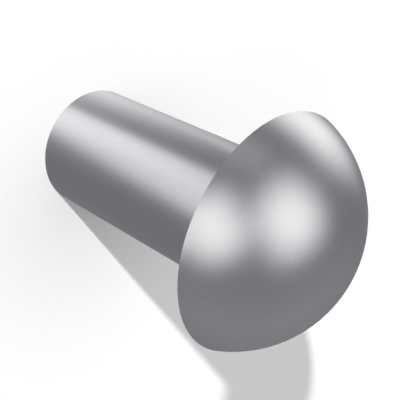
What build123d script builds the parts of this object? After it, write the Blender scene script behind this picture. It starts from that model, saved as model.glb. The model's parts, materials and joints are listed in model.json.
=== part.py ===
from build123d import *
import os

# Solid rivet with a domed head, cold headed in one piece from round steel wire.
# Lengths are in millimetres. The rivet's axis is Z, and the origin lies on it, in the plane of the
# head's flat underside. The dome rises above that plane, and the shank runs down to its flat end,
# on which the rivet stands.

# Shank
shank_diameter = 10.0
shank_length = 20.0  # from the head's underside to the end, the length that a rivet is ordered by
neck_fillet_radius = 0.5  # hollow fillet where the shank runs into the head
end_edge_radius = 0.06  # rounded edge of the flat end

# Head
head_diameter = 18.0  # across the rim, which the die leaves sharp
head_height = 6.0  # underside to crown


def half_section():
    """The closed outline on one side of the axis, X outwards and Y up, as a face.

    It starts at the middle of the flat end, goes round the outside to the crown and comes back down
    the axis. The end's edge and the neck are arcs that leave the stretch before them without a corner.
    The dome is the arc that leaves the crown level and meets the flat underside at the rim, so it is
    part of a sphere centred on the axis.
    """
    shank_radius = shank_diameter / 2
    rim = (head_diameter / 2, 0)
    crown = (0, head_height)

    with BuildSketch() as section:
        with BuildLine():
            flat_end = Line((0, -shank_length), (shank_radius - end_edge_radius, -shank_length))
            end_edge = TangentArc(
                flat_end @ 1,
                (shank_radius, end_edge_radius - shank_length),
                tangent=flat_end % 1,
            )
            shank_wall = Line(end_edge @ 1, (shank_radius, -neck_fillet_radius))
            neck = TangentArc(
                shank_wall @ 1,
                (shank_radius + neck_fillet_radius, 0),
                tangent=shank_wall % 1,
            )
            Line(neck @ 1, rim)
            TangentArc(crown, rim, tangent=(1, 0))
            Line(crown, flat_end @ 0)
        make_face()
    return section.sketch


def make_rivet():
    """The half section, stood upright and turned once about the axis."""
    return revolve(Plane.XZ * half_section(), axis=Axis.Z)


os.makedirs("parts", exist_ok=True)
export_step(make_rivet(), "parts/rivet.step")
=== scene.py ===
"""Solid rivet with a domed head, standing on the flat end of its shank on white paper.

Lengths are in metres. The rivet's axis is Z, with the origin in the head's flat underside, the crown
above it and the flat end below.
"""

import json
from math import cos, radians, sin

import bpy
import numpy as np
from mathutils import Matrix, Vector


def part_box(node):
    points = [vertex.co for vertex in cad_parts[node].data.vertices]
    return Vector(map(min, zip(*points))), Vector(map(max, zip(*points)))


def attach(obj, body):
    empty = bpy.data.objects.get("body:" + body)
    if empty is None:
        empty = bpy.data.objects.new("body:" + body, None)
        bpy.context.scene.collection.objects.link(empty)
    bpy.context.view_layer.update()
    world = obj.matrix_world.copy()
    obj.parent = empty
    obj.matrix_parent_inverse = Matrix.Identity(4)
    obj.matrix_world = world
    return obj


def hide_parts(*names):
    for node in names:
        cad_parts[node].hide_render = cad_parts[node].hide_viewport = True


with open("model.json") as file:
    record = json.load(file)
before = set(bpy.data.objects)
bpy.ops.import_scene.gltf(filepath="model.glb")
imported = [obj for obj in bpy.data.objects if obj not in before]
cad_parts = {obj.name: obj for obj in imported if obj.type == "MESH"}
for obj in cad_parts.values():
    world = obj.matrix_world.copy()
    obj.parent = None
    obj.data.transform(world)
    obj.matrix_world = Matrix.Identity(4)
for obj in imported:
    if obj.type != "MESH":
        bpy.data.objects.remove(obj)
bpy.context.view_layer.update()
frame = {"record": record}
mounts = {mount["name"]: mount for mount in frame["record"]["mounts"]}

MM = 0.001

# Places of the colours among a Mix node's inputs and outputs, whose names aren't unique
MIX_FIRST = 6
MIX_SECOND = 7
MIX_RESULT = 2

# Rivet, with its overall sizes from the solid part
LOWEST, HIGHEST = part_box("rivet")
HEAD_RADIUS = HIGHEST[0]
HEAD_HEIGHT = HIGHEST[2]
SHANK_LENGTH = -LOWEST[2]
SHANK_RADIUS = mounts["shank"]["dims"]["r_mm"] * MM
NECK_FILLET_RADIUS = 0.5 * MM
END_EDGE_RADIUS = 0.06 * MM

# Fineness of the rivet's surface
STEPS_ROUND = 256  # faces in each ring
STEPS_FLAT = 16
STEPS_WALL = 40
STEPS_EDGE = 10
STEPS_DOME = 64

# Bright steel. Marks shift it between two close greys, and clouds make its roughness uneven.
STEEL_DARKER = "#c6c6ca"
STEEL_LIGHTER = "#d6d6da"
CLOUD = (2.5 * MM, 2.5 * MM, 2.5 * MM)
CLOUD_SWING = 0.03  # between the smoothest and the roughest cloud

# Marks that the making leaves, as long along X, Y and Z as these sizes. They are coarser than the real
# ones, which are too fine to show.
MARK_LAYERS = 3.0  # finer layers within each mark
GRAIN = (0.30 * MM, 0.30 * MM, 0.30 * MM)
GRAIN_CONTRAST = 0.4
GRAIN_DEPTH = 0.0002 * MM
HEADED_ROUGHNESS = 0.28
DRAWN_LINE = (0.16 * MM, 0.16 * MM, 9.0 * MM)
DRAWN_CONTRAST = 0.7
DRAWN_DEPTH = 0.0006 * MM
DRAWN_ROUGHNESS = 0.28
SHEAR_LINE = (3.0 * MM, 0.15 * MM, 0.15 * MM)
TORN_GRAIN = (0.25 * MM, 0.40 * MM, 0.25 * MM)
TORN_FROM = 0.5 * MM  # furthest place along X of the border between sheared and torn
TORN_WAVER = 1.6 * MM  # how far the border wanders back from there
TORN_BLEND = 0.4 * MM  # how wide it is
CROPPED_DEPTH = 0.004 * MM
CROPPED_ROUGHNESS = 0.34

# Paper and backdrop
PAPER_COLOR = "#fcfcfc"
PAPER_GAP = 0.02 * MM  # keeps the paper off the flat end that stands on it
PAPER_RADIUS = 1.2  # past the backdrop, so that no edge of the paper shows
PAPER_STEPS = 96
BACKDROP_COLOR = "#ffffff"
BACKDROP_RADIUS = 1.0
BACKDROP_STEPS = (64, 32)  # round and up

# Sun
SUN_DIRECTION = (1.3, -2.2, -1.0)  # the way that its light goes
SUN_STRENGTH = 3.9
SUN_ANGLE = 1.6  # how wide it looks, in degrees, which softens the shadow's edge

# Room light, even all round
ROOM_TINT = "#fafaff"
ROOM_LIGHT = 0.25

# Soft boxes, named by their place in the picture, with angles in degrees. The turn goes round the Y axis
# from the crown's side towards X, the rise goes up towards Y, and the roll turns a box in its own plane.
# The size and the fading edge are shares of the box's distance. Dim light has the room's tint.
BOX_TINT = "#fffffa"
WARM_FROM = 0.7  # the light from which a box has its own full tint
SOFT_BOXES = {
    "front": {"turn": -64, "rise": 21, "roll": 35, "size": (0.80, 0.95), "edge": 0.35, "light": 1.25},
    "right": {"turn": 4, "rise": 19, "roll": 20, "size": (0.90, 0.95), "edge": 0.40, "light": 1.25},
    "back_right": {"turn": 95, "rise": 23, "roll": 35, "size": (0.85, 0.80), "edge": 0.35, "light": 1.25},
    "left": {"turn": -125, "rise": 27, "roll": -35, "size": (2.15, 0.55), "edge": 0.15, "light": 0.80},
    "back_left": {"turn": 174, "rise": 13, "roll": 0, "size": (1.25, 0.75), "edge": 0.25, "light": 1.00},
    "back": {"turn": 137, "rise": 3, "roll": 0, "size": (0.30, 0.60), "edge": 0.20, "light": 0.70},
    "above": {"turn": -160, "rise": 73, "roll": -5, "size": (0.55, 1.85), "edge": 0.15, "light": 0.20},
    "below": {"turn": -10, "rise": -70, "roll": 10, "size": (3.05, 0.50), "edge": 1.15, "light": 0.15},
}

# Camera
CAMERA_PLACE = (-34.6 * MM, 28.252 * MM, 27.6 * MM)
CAMERA_TARGET = (0.0, 0.0, -7.0 * MM)
CAMERA_UP = (0.0, 1.0, 0.0)
CAMERA_ANGLE = 30.0  # how wide it sees, in degrees
CAMERA_NEAR = 1.0 * MM
CAMERA_FAR = 10.0


def linear(color):
    """A hex colour's linear red, green and blue, by the sRGB curve, with alpha 1."""
    parts = [int(color[i : i + 2], 16) / 255 for i in (1, 3, 5)]
    return [c / 12.92 if c <= 0.04045 else ((c + 0.055) / 1.055) ** 2.4 for c in parts] + [1.0]


def add(tree, kind, inputs=None, **settings):
    """Adds a node with its settings.

    Each input, by its name or number, gets a value, an output, or a node's first output.
    """
    node = tree.nodes.new(kind)
    for name, value in settings.items():
        setattr(node, name, value)
    for name, value in (inputs or {}).items():
        if isinstance(value, bpy.types.Node):
            value = value.outputs[0]
        if isinstance(value, bpy.types.NodeSocket):
            tree.links.new(value, node.inputs[name])
        else:
            node.inputs[name].default_value = value
    return node


def empty_material(name):
    """A material with no nodes yet, and its node tree."""
    material = bpy.data.materials.new(name)
    material.use_nodes = True
    material.node_tree.nodes.clear()
    return material, material.node_tree


def crowded(count):
    """Shares from 0 to 1, closer together at both ends: half of (1 less cos a), for a over half a turn."""
    return (1 - np.cos(np.linspace(0, np.pi, count + 1))) / 2


def straight(start, end, count):
    """Points from start to end, with the normal on the right-hand side of the way there."""
    start, end = np.array(start), np.array(end)
    points = start + crowded(count)[:, None] * (end - start)
    way = (end - start) / np.linalg.norm(end - start)
    return points, np.tile((way[1], -way[0]), (count + 1, 1))


def rounded(center, radius, first, last, count, side=1):
    """Centre plus radius times (cos a, sin a), for a from first to last. A hollow curve has side -1."""
    angle = np.linspace(first, last, count + 1)
    outward = np.stack([np.cos(angle), np.sin(angle)], axis=1)
    return np.array(center) + radius * outward, side * outward


def rivet_outline():
    """Half section in stretches, each with its finish and its (radius, height) points and normals.

    The way goes from the middle of the flat end round the outside to the crown. The dome is part of a
    sphere through crown and rim: with r the rim's distance from the axis and h its depth under the
    crown, the sphere's radius is (r squared + h squared) / (2 h).
    """
    quarter = np.pi / 2
    rim = (HEAD_RADIUS, 0)
    dome_radius = (HEAD_RADIUS**2 + HEAD_HEIGHT**2) / (2 * HEAD_HEIGHT)
    dome_center = (0, HEAD_HEIGHT - dome_radius)
    rim_angle = np.arctan2(-dome_center[1], HEAD_RADIUS)
    edge_center = (SHANK_RADIUS - END_EDGE_RADIUS, END_EDGE_RADIUS - SHANK_LENGTH)
    neck_center = (SHANK_RADIUS + NECK_FILLET_RADIUS, -NECK_FILLET_RADIUS)
    wall = (SHANK_RADIUS, edge_center[1]), (SHANK_RADIUS, neck_center[1])
    return (
        ("cropped", *straight((0, -SHANK_LENGTH), (edge_center[0], -SHANK_LENGTH), STEPS_FLAT)),
        ("drawn", *rounded(edge_center, END_EDGE_RADIUS, -quarter, 0, STEPS_EDGE)),
        ("drawn", *straight(*wall, STEPS_WALL)),
        ("headed", *rounded(neck_center, NECK_FILLET_RADIUS, 2 * quarter, quarter, STEPS_EDGE, -1)),
        ("headed", *straight((neck_center[0], 0), rim, STEPS_FLAT)),
        ("headed", *rounded(dome_center, dome_radius, rim_angle, quarter, STEPS_DOME)),
    )


def around(flat):
    """Rings of (r cos a, r sin a, z) at even angles a, one for each (r, z) of an outline."""
    angle = np.linspace(0, 2 * np.pi, STEPS_ROUND, endpoint=False)
    across, height = flat[:, 0:1], flat[:, 1:2]
    return np.stack([across * np.cos(angle), across * np.sin(angle), height + 0 * angle], axis=2)


def turned_piece(name, outline, materials):
    """An outline carried once round the Z axis, in strips between one outline point and the next.

    The first strip closes on the middle of the flat end, and the last one on the crown. Each corner of
    a face has the normal of its own stretch, so that arcs run smoothly into flats and the rim is sharp.
    """
    finishes, points, normals = zip(*outline)
    rings = np.concatenate([stretch[1:] for stretch in points])[:-1]
    bottom, top = points[0][0, 1], points[-1][-1, 1]
    vertices = np.concatenate([around(rings).reshape(-1, 3), [[0, 0, bottom], [0, 0, top]]])

    here = np.arange(STEPS_ROUND)
    after = (here + 1) % STEPS_ROUND
    low = STEPS_ROUND * np.arange(len(rings) - 1)[:, None]
    high = low + STEPS_ROUND
    middle, crown = np.full(STEPS_ROUND, len(vertices) - 2), np.full(STEPS_ROUND, len(vertices) - 1)
    quads = np.stack([low + here, low + after, high + after, high + here], axis=2).reshape(-1, 4)
    end_fan = np.stack([after, here, middle], axis=1)
    crown_fan = np.stack([high[-1] + here, high[-1] + after, crown], axis=1)
    faces = quads.tolist() + end_fan.tolist() + crown_fan.tolist()

    start = around(np.concatenate([stretch[:-1] for stretch in normals]))
    end = around(np.concatenate([stretch[1:] for stretch in normals]))
    quad_normals = np.stack([start[1:-1], start[1:-1, after], end[1:-1, after], end[1:-1]], axis=2)
    end_normals = np.stack([end[0, after], end[0], start[0]], axis=1)
    crown_normals = np.stack([start[-1], start[-1, after], end[-1]], axis=1)
    corners = np.concatenate([part.reshape(-1, 3) for part in (quad_normals, end_normals, crown_normals)])

    mesh = bpy.data.meshes.new(name)
    mesh.from_pydata(vertices.tolist(), [], faces)
    mesh.polygons.foreach_set("use_smooth", np.ones(len(faces), dtype=bool))
    mesh.normals_split_custom_set(corners.tolist())

    slots = [list(materials).index(finish) for finish in finishes]
    strips = np.repeat(slots, [len(stretch) - 1 for stretch in points])
    strips = np.concatenate([strips[1:-1], strips[:1], strips[-1:]])
    mesh.polygons.foreach_set("material_index", np.repeat(strips, STEPS_ROUND))
    for material in materials.values():
        mesh.materials.append(material)
    piece = bpy.data.objects.new(name, mesh)
    bpy.context.scene.collection.objects.link(piece)
    return piece


def marks(tree, size, contrast=1.0):
    """Noise about one half over the piece, as long along X, Y and Z as the size says."""
    place = add(tree, "ShaderNodeTexCoord").outputs["Object"]
    scaled = add(tree, "ShaderNodeMapping", {"Vector": place, "Scale": [1 / length for length in size]})
    noise = add(tree, "ShaderNodeTexNoise", {"Vector": scaled, "Scale": 1.0, "Detail": MARK_LAYERS})
    spread = {"Value": noise, "To Min": 0.5 - contrast / 2, "To Max": 0.5 + contrast / 2}
    return add(tree, "ShaderNodeMapRange", spread)


def bare_steel(tree, pattern, depth, roughness):
    """Low carbon steel, tumbled to a satin: soft blurred reflections in a nearly neutral grey."""
    greys = {"Factor": pattern, MIX_FIRST: linear(STEEL_DARKER), MIX_SECOND: linear(STEEL_LIGHTER)}
    color = add(tree, "ShaderNodeMix", greys, data_type="RGBA").outputs[MIX_RESULT]
    bump = add(tree, "ShaderNodeBump", {"Height": pattern, "Distance": depth, "Strength": 1.0})
    swing = CLOUD_SWING / 2
    spread = {"Value": marks(tree, CLOUD), "To Min": roughness - swing, "To Max": roughness + swing}
    uneven = add(tree, "ShaderNodeMapRange", spread)
    finish = {"Base Color": color, "Metallic": 1.0, "Roughness": uneven, "Normal": bump}
    steel = add(tree, "ShaderNodeBsdfPrincipled", finish)
    add(tree, "ShaderNodeOutputMaterial", {"Surface": steel})


def headed_steel():
    """Head, underside and neck, struck cold between polished dies, which leaves a fine even grain."""
    material, tree = empty_material("headed_steel")
    bare_steel(tree, marks(tree, GRAIN, GRAIN_CONTRAST), GRAIN_DEPTH, HEADED_ROUGHNESS)
    return material


def drawn_steel():
    """Shank, still the wire as it was drawn bright through its die, with faint lengthwise lines."""
    material, tree = empty_material("drawn_steel")
    bare_steel(tree, marks(tree, DRAWN_LINE, DRAWN_CONTRAST), DRAWN_DEPTH, DRAWN_ROUGHNESS)
    return material


def cropped_steel():
    """Flat end, cut off between two blades: lines along the cut, and past a wavering border, torn grain."""
    material, tree = empty_material("cropped_steel")
    place = add(tree, "ShaderNodeTexCoord").outputs["Object"]
    along = add(tree, "ShaderNodeSeparateXYZ", {"Vector": place})
    waver = {0: marks(tree, CLOUD), 1: TORN_WAVER, 2: along}
    border = add(tree, "ShaderNodeMath", waver, operation="MULTIPLY_ADD")
    blend = {"Value": border, "From Min": TORN_FROM, "From Max": TORN_FROM + TORN_BLEND}
    torn = add(tree, "ShaderNodeMapRange", blend)
    halves = {"Factor": torn, "A": marks(tree, SHEAR_LINE), "B": marks(tree, TORN_GRAIN)}
    pattern = add(tree, "ShaderNodeMix", halves)
    bare_steel(tree, pattern, CROPPED_DEPTH, CROPPED_ROUGHNESS)
    return material


def matt_paper():
    """Matt white paper. Seen from below it lets the view through, so the flat end can be looked at."""
    material, tree = empty_material("matt_paper")
    paper = add(tree, "ShaderNodeBsdfDiffuse", {"Color": linear(PAPER_COLOR)})
    clear = add(tree, "ShaderNodeBsdfTransparent")
    behind = add(tree, "ShaderNodeNewGeometry").outputs["Backfacing"]
    both = add(tree, "ShaderNodeMixShader", {0: behind, 1: paper, 2: clear})
    add(tree, "ShaderNodeOutputMaterial", {"Surface": both})
    return material


def backdrop_white():
    """Plain white of strength 1, as bright as the lit paper."""
    material, tree = empty_material("backdrop_white")
    white = add(tree, "ShaderNodeEmission", {"Color": linear(BACKDROP_COLOR), "Strength": 1.0})
    add(tree, "ShaderNodeOutputMaterial", {"Surface": white})
    return material


def staged(name, vertices, faces, material):
    """A piece of the studio from its vertices and faces."""
    mesh = bpy.data.meshes.new(name)
    mesh.from_pydata(vertices.tolist(), [], faces.tolist())
    mesh.materials.append(material)
    piece = bpy.data.objects.new(name, mesh)
    bpy.context.scene.collection.objects.link(piece)
    return piece


def paper_disc():
    """One flat round face under the flat end, facing up: radius times (cos a, sin a) at an angle a."""
    angle = np.linspace(0, 2 * np.pi, PAPER_STEPS, endpoint=False)
    height = np.full(PAPER_STEPS, -SHANK_LENGTH - PAPER_GAP)
    ring = np.stack([PAPER_RADIUS * np.cos(angle), PAPER_RADIUS * np.sin(angle), height], axis=1)
    return ring, np.arange(PAPER_STEPS)[None, :]


def backdrop_ball():
    """A ball about the rivet: radius times (cos b cos a, cos b sin a, sin b), with a round and b up."""
    across, up = BACKDROP_STEPS
    a = np.linspace(0, 2 * np.pi, across, endpoint=False)
    b = np.linspace(-np.pi / 2, np.pi / 2, up + 1)[:, None]
    grid = np.stack([np.cos(b) * np.cos(a), np.cos(b) * np.sin(a), np.sin(b) + 0 * a], axis=2)
    here = np.arange(across)
    after = (here + 1) % across
    low = np.arange(up)[:, None] * across
    quads = np.stack([low + here, low + across + here, low + across + after, low + after], axis=2)
    return BACKDROP_RADIUS * grid.reshape(-1, 3), quads.reshape(-1, 4)


def soft_box(tree, look, turn, rise, roll, size, edge, light):
    """Light of one flat soft box in the direction looked at.

    Its own axes are its facing, right and up. The looked-at direction meets its plane at the ratios of
    right to facing and up to facing, and the light fades smoothly from an edge width inside each half
    size to an edge width outside it.
    """
    turn, rise, roll = radians(turn), radians(rise), radians(roll)
    facing = Vector((cos(rise) * sin(turn), sin(rise), cos(rise) * cos(turn)))
    level = Vector((cos(turn), 0, -sin(turn)))
    raised = facing.cross(level)
    right = level * cos(roll) + raised * sin(roll)
    up = raised * cos(roll) - level * sin(roll)
    ahead = add(tree, "ShaderNodeVectorMath", {0: look, 1: facing}, operation="DOT_PRODUCT")
    share = add(tree, "ShaderNodeMath", {0: ahead.outputs["Value"], 1: 0.0}, operation="GREATER_THAN")
    for axis, whole in zip((right, up), size):
        aside = add(tree, "ShaderNodeVectorMath", {0: look, 1: axis}, operation="DOT_PRODUCT")
        slope = {0: aside.outputs["Value"], 1: ahead.outputs["Value"]}
        ratio = add(tree, "ShaderNodeMath", slope, operation="DIVIDE")
        off = add(tree, "ShaderNodeMath", {0: ratio}, operation="ABSOLUTE")
        fade = {"Value": off, "From Min": whole / 2 + edge, "From Max": whole / 2 - edge}
        within = add(tree, "ShaderNodeMapRange", fade, interpolation_type="SMOOTHSTEP")
        share = add(tree, "ShaderNodeMath", {0: share, 1: within}, operation="MULTIPLY")
    return add(tree, "ShaderNodeMath", {0: share, 1: light}, operation="MULTIPLY")


def studio_world():
    """A dim cool room with soft boxes round the rivet, which are warmer where they are brighter."""
    world = bpy.data.worlds.new("studio")
    bpy.context.scene.world = world
    world.use_nodes = True
    tree = world.node_tree
    tree.nodes.clear()
    look = add(tree, "ShaderNodeTexCoord").outputs["Generated"]
    total = add(tree, "ShaderNodeBackground", {"Color": linear(ROOM_TINT), "Strength": ROOM_LIGHT})
    for box in SOFT_BOXES.values():
        light = soft_box(tree, look, **box)
        warmth = add(tree, "ShaderNodeMapRange", {"Value": light, "From Max": WARM_FROM})
        tints = {"Factor": warmth, MIX_FIRST: linear(ROOM_TINT), MIX_SECOND: linear(BOX_TINT)}
        tint = add(tree, "ShaderNodeMix", tints, data_type="RGBA").outputs[MIX_RESULT]
        glow = add(tree, "ShaderNodeBackground", {"Color": tint, "Strength": light})
        total = add(tree, "ShaderNodeAddShader", {0: total, 1: glow})
    add(tree, "ShaderNodeOutputWorld", {"Surface": total})


def sun_lamp():
    """The lamp that throws the shadow. It lights the paper alone, for steel only mirrors."""
    lamp = bpy.data.lights.new("sun", "SUN")
    lamp.energy = SUN_STRENGTH
    lamp.angle = radians(SUN_ANGLE)
    sun = bpy.data.objects.new("sun", lamp)
    bpy.context.scene.collection.objects.link(sun)
    sun.rotation_euler = Vector(SUN_DIRECTION).to_track_quat("-Z", "Y").to_euler()
    sun.visible_glossy = False


def camera():
    """Looks at the middle of the rivet, with Y upwards in the picture."""
    data = bpy.data.cameras.new("camera")
    data.angle = radians(CAMERA_ANGLE)
    data.clip_start = CAMERA_NEAR
    data.clip_end = CAMERA_FAR
    piece = bpy.data.objects.new("camera", data)
    bpy.context.scene.collection.objects.link(piece)
    place = Vector(CAMERA_PLACE)
    back = (place - Vector(CAMERA_TARGET)).normalized()
    right = Vector(CAMERA_UP).cross(back).normalized()
    up = back.cross(right)
    piece.matrix_world = Matrix.Translation(place) @ Matrix((right, up, back)).transposed().to_4x4()
    bpy.context.scene.camera = piece


bpy.context.scene.view_settings.view_transform = "Standard"
camera()

steels = {"cropped": cropped_steel(), "drawn": drawn_steel(), "headed": headed_steel()}
rivet = turned_piece("rivet_surface", rivet_outline(), steels)
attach(rivet, "root")
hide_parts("rivet")

studio_world()
sun_lamp()

# Steel mirrors what is round it. A white floor and backdrop would take away its light and dark bands, so
# only the room and its soft boxes show in its reflections.
paper = staged("paper", *paper_disc(), matt_paper())
paper.visible_glossy = False
backdrop = staged("backdrop", *backdrop_ball(), backdrop_white())
backdrop.visible_diffuse = False
backdrop.visible_glossy = False
backdrop.visible_shadow = False
